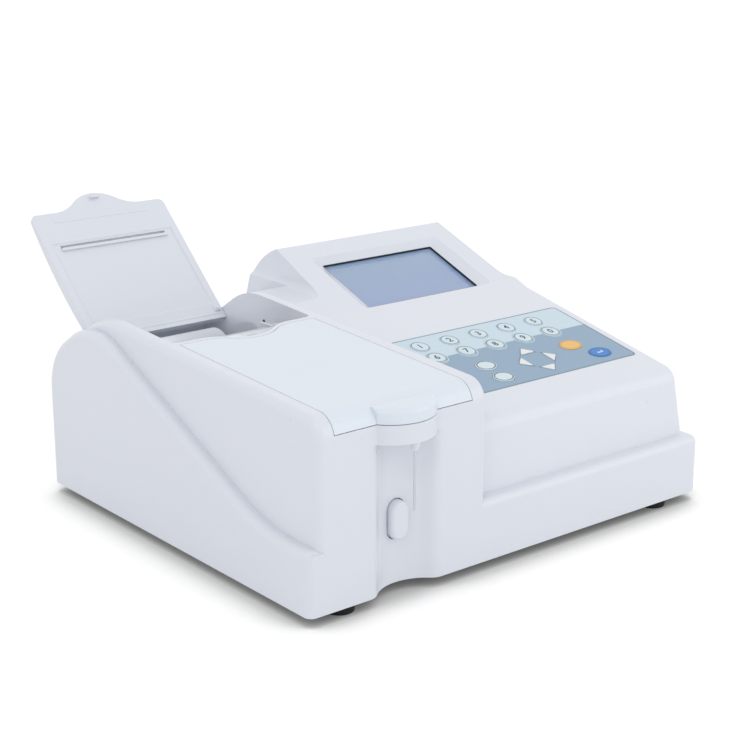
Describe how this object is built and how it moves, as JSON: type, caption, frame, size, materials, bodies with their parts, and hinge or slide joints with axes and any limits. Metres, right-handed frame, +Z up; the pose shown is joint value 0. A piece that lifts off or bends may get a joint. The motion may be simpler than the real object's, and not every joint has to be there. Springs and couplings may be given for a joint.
{
  "type": "semi-automatic chemistry analyser",
  "caption": "Bench-top chemistry analyser with a sampling probe, lift-off flow-cell cover, strip printer under a flip lid, sloping keypad and hooded display.",
  "frame": {"origin": "middle of the footprint on the table under the feet, lid open", "axes": "+X to the right seen from the keypad side, +Y to the rear, +Z up"},
  "size_m": [0.402, 0.4378, 0.2329],
  "materials": {
    "housing_white": "gloss",
    "cover_white": "gloss",
    "base_grey": "satin",
    "zinc_steel": "satin",
    "foot_rubber": "matte",
    "tray_aluminium": "satin",
    "optic_black": "anodised",
    "quartz": "clear",
    "motor_black": "satin",
    "board_green": "matte",
    "pump_grey": "matte",
    "acetal_white": "satin",
    "silicone": "satin",
    "printer_grey": "satin",
    "head_ceramic": "satin",
    "paper": "matte",
    "lcd_blue": "satin",
    "pad_blue": "satin",
    "key_blue_grey": "satin",
    "key_light": "satin",
    "key_orange": "satin",
    "key_blue": "satin",
    "inlet_black": "satin"
  },
  "bodies": {
    "base": {"base_plate": "base_grey", "base_screws": "zinc_steel", "button_switch": "board_green", "cell_tray": "tray_aluminium", "detector_board": "board_green", "feet": "foot_rubber", "filter_motor": "motor_black", "flow_cell": "quartz", "housing": "housing_white", "keypad_circuit": "board_green", "keypad_overlay": "pad_blue", "lamp": "quartz", "lamp_house": "tray_aluminium", "lcd_module": "lcd_blue", "lcd_window": "quartz", "main_board": "board_green", "nozzle": "cover_white", "optic_block": "optic_black", "power_inlet": "inlet_black", "power_supply": "zinc_steel", "print_head": "head_ceramic", "printer_frame": "printer_grey", "printer_motor": "motor_black", "probe": "zinc_steel", "pump_bracket": "tray_aluminium", "pump_motor": "zinc_steel", "pump_tube": "silicone", "sample_tube": "silicone", "tear_bar": "zinc_steel"},
    "lid": {"printer_lid": "cover_white", "lid_panel": "cover_white"},
    "cover": {"flow_cell_cover": "cover_white"},
    "button": {"aspirate_button": "cover_white"},
    "rocker": {"power_rocker": "inlet_black"},
    "filter_turret": {"filter_wheel": "tray_aluminium", "filter_glasses": "quartz"},
    "pump_head": {"pump_rotor": "pump_grey", "pump_rollers": "acetal_white"},
    "platen": {"platen_roller": "foot_rubber", "platen_gear": "acetal_white"},
    "pinion": {"motor_gear": "acetal_white"},
    "roll": {"paper_roll": "paper"},
    "key_1_cap": {"key_1": "key_blue_grey"},
    "key_2_cap": {"key_2": "key_blue_grey"},
    "key_3_cap": {"key_3": "key_blue_grey"},
    "key_4_cap": {"key_4": "key_blue_grey"},
    "key_5_cap": {"key_5": "key_blue_grey"},
    "key_6_cap": {"key_6": "key_blue_grey"},
    "key_7_cap": {"key_7": "key_blue_grey"},
    "key_8_cap": {"key_8": "key_blue_grey"},
    "key_9_cap": {"key_9": "key_blue_grey"},
    "key_0_cap": {"key_0": "key_blue_grey"},
    "key_function_1_cap": {"key_function_1": "key_light"},
    "key_function_2_cap": {"key_function_2": "key_light"},
    "key_up_cap": {"key_up": "key_blue_grey"},
    "key_down_cap": {"key_down": "key_blue_grey"},
    "key_left_cap": {"key_left": "key_blue_grey"},
    "key_right_cap": {"key_right": "key_blue_grey"},
    "key_clear_cap": {"key_clear": "key_orange"},
    "key_enter_cap": {"key_enter": "key_blue"}
  },
  "joints": [
    {"name": "lid_hinge", "type": "hinge", "parent": "base", "child": "lid", "pos_m": [-0.116, 0.11305, 0.1367], "axis": [1, 0, 0], "range_deg": [0, 128.35]},
    {"name": "cover_lift", "type": "slide", "parent": "base", "child": "cover", "axis": [0, 0, 1], "range_m": [0, 0.08]},
    {"name": "aspirate_press", "type": "slide", "parent": "base", "child": "button", "axis": [0, 1, 0], "range_m": [0, 0.003], "stiffness_N_per_m": 600, "springref_m": -0.002},
    {"name": "rocker_tilt", "type": "hinge", "parent": "base", "child": "rocker", "pos_m": [0.1, 0.15005, 0.038], "axis": [-1, 0, 0], "range_deg": [0, 18]},
    {"name": "filter_turn", "type": "hinge", "parent": "base", "child": "filter_turret", "pos_m": [-0.115, -0.07095, 0.1117], "axis": [0, 1, 0], "continuous": true},
    {"name": "pump_turn", "type": "hinge", "parent": "base", "child": "pump_head", "pos_m": [-0.07599, -0.13895, 0.0897], "axis": [0, 0, 1], "continuous": true},
    {"name": "platen_turn", "type": "hinge", "parent": "base", "child": "platen", "pos_m": [-0.116, 0.01905, 0.1377], "axis": [1, 0, 0], "continuous": true},
    {"name": "pinion_turn", "type": "hinge", "parent": "base", "child": "pinion", "pos_m": [-0.06399, 0.03073, 0.1279], "axis": [1, 0, 0], "continuous": true},
    {"name": "roll_turn", "type": "hinge", "parent": "base", "child": "roll", "pos_m": [-0.116, 0.06905, 0.1146], "axis": [1, 0, 0], "continuous": true},
    {"name": "key_1_press", "type": "slide", "parent": "base", "child": "key_1_cap", "axis": [0, 0.209, -0.9779], "range_m": [0, 0.0004], "stiffness_N_per_m": 3000, "springref_m": -0.0002},
    {"name": "key_2_press", "type": "slide", "parent": "base", "child": "key_2_cap", "axis": [0, 0.209, -0.9779], "range_m": [0, 0.0004], "stiffness_N_per_m": 3000, "springref_m": -0.0002},
    {"name": "key_3_press", "type": "slide", "parent": "base", "child": "key_3_cap", "axis": [0, 0.209, -0.9779], "range_m": [0, 0.0004], "stiffness_N_per_m": 3000, "springref_m": -0.0002},
    {"name": "key_4_press", "type": "slide", "parent": "base", "child": "key_4_cap", "axis": [0, 0.209, -0.9779], "range_m": [0, 0.0004], "stiffness_N_per_m": 3000, "springref_m": -0.0002},
    {"name": "key_5_press", "type": "slide", "parent": "base", "child": "key_5_cap", "axis": [0, 0.209, -0.9779], "range_m": [0, 0.0004], "stiffness_N_per_m": 3000, "springref_m": -0.0002},
    {"name": "key_6_press", "type": "slide", "parent": "base", "child": "key_6_cap", "axis": [0, 0.209, -0.9779], "range_m": [0, 0.0004], "stiffness_N_per_m": 3000, "springref_m": -0.0002},
    {"name": "key_7_press", "type": "slide", "parent": "base", "child": "key_7_cap", "axis": [0, 0.209, -0.9779], "range_m": [0, 0.0004], "stiffness_N_per_m": 3000, "springref_m": -0.0002},
    {"name": "key_8_press", "type": "slide", "parent": "base", "child": "key_8_cap", "axis": [0, 0.209, -0.9779], "range_m": [0, 0.0004], "stiffness_N_per_m": 3000, "springref_m": -0.0002},
    {"name": "key_9_press", "type": "slide", "parent": "base", "child": "key_9_cap", "axis": [0, 0.209, -0.9779], "range_m": [0, 0.0004], "stiffness_N_per_m": 3000, "springref_m": -0.0002},
    {"name": "key_0_press", "type": "slide", "parent": "base", "child": "key_0_cap", "axis": [0, 0.209, -0.9779], "range_m": [0, 0.0004], "stiffness_N_per_m": 3000, "springref_m": -0.0002},
    {"name": "key_function_1_press", "type": "slide", "parent": "base", "child": "key_function_1_cap", "axis": [0, 0.209, -0.9779], "range_m": [0, 0.0004], "stiffness_N_per_m": 3000, "springref_m": -0.0002},
    {"name": "key_function_2_press", "type": "slide", "parent": "base", "child": "key_function_2_cap", "axis": [0, 0.209, -0.9779], "range_m": [0, 0.0004], "stiffness_N_per_m": 3000, "springref_m": -0.0002},
    {"name": "key_up_press", "type": "slide", "parent": "base", "child": "key_up_cap", "axis": [0, 0.209, -0.9779], "range_m": [0, 0.0004], "stiffness_N_per_m": 3000, "springref_m": -0.0002},
    {"name": "key_down_press", "type": "slide", "parent": "base", "child": "key_down_cap", "axis": [0, 0.209, -0.9779], "range_m": [0, 0.0004], "stiffness_N_per_m": 3000, "springref_m": -0.0002},
    {"name": "key_left_press", "type": "slide", "parent": "base", "child": "key_left_cap", "axis": [0, 0.209, -0.9779], "range_m": [0, 0.0004], "stiffness_N_per_m": 3000, "springref_m": -0.0002},
    {"name": "key_right_press", "type": "slide", "parent": "base", "child": "key_right_cap", "axis": [0, 0.209, -0.9779], "range_m": [0, 0.0004], "stiffness_N_per_m": 3000, "springref_m": -0.0002},
    {"name": "key_clear_press", "type": "slide", "parent": "base", "child": "key_clear_cap", "axis": [0, 0.209, -0.9779], "range_m": [0, 0.0004], "stiffness_N_per_m": 3000, "springref_m": -0.0002},
    {"name": "key_enter_press", "type": "slide", "parent": "base", "child": "key_enter_cap", "axis": [0, 0.209, -0.9779], "range_m": [0, 0.0004], "stiffness_N_per_m": 3000, "springref_m": -0.0002}
  ],
  "couplings": [
    {"joint": "pinion_turn", "follows": "platen_turn", "ratio": -2}
  ]
}
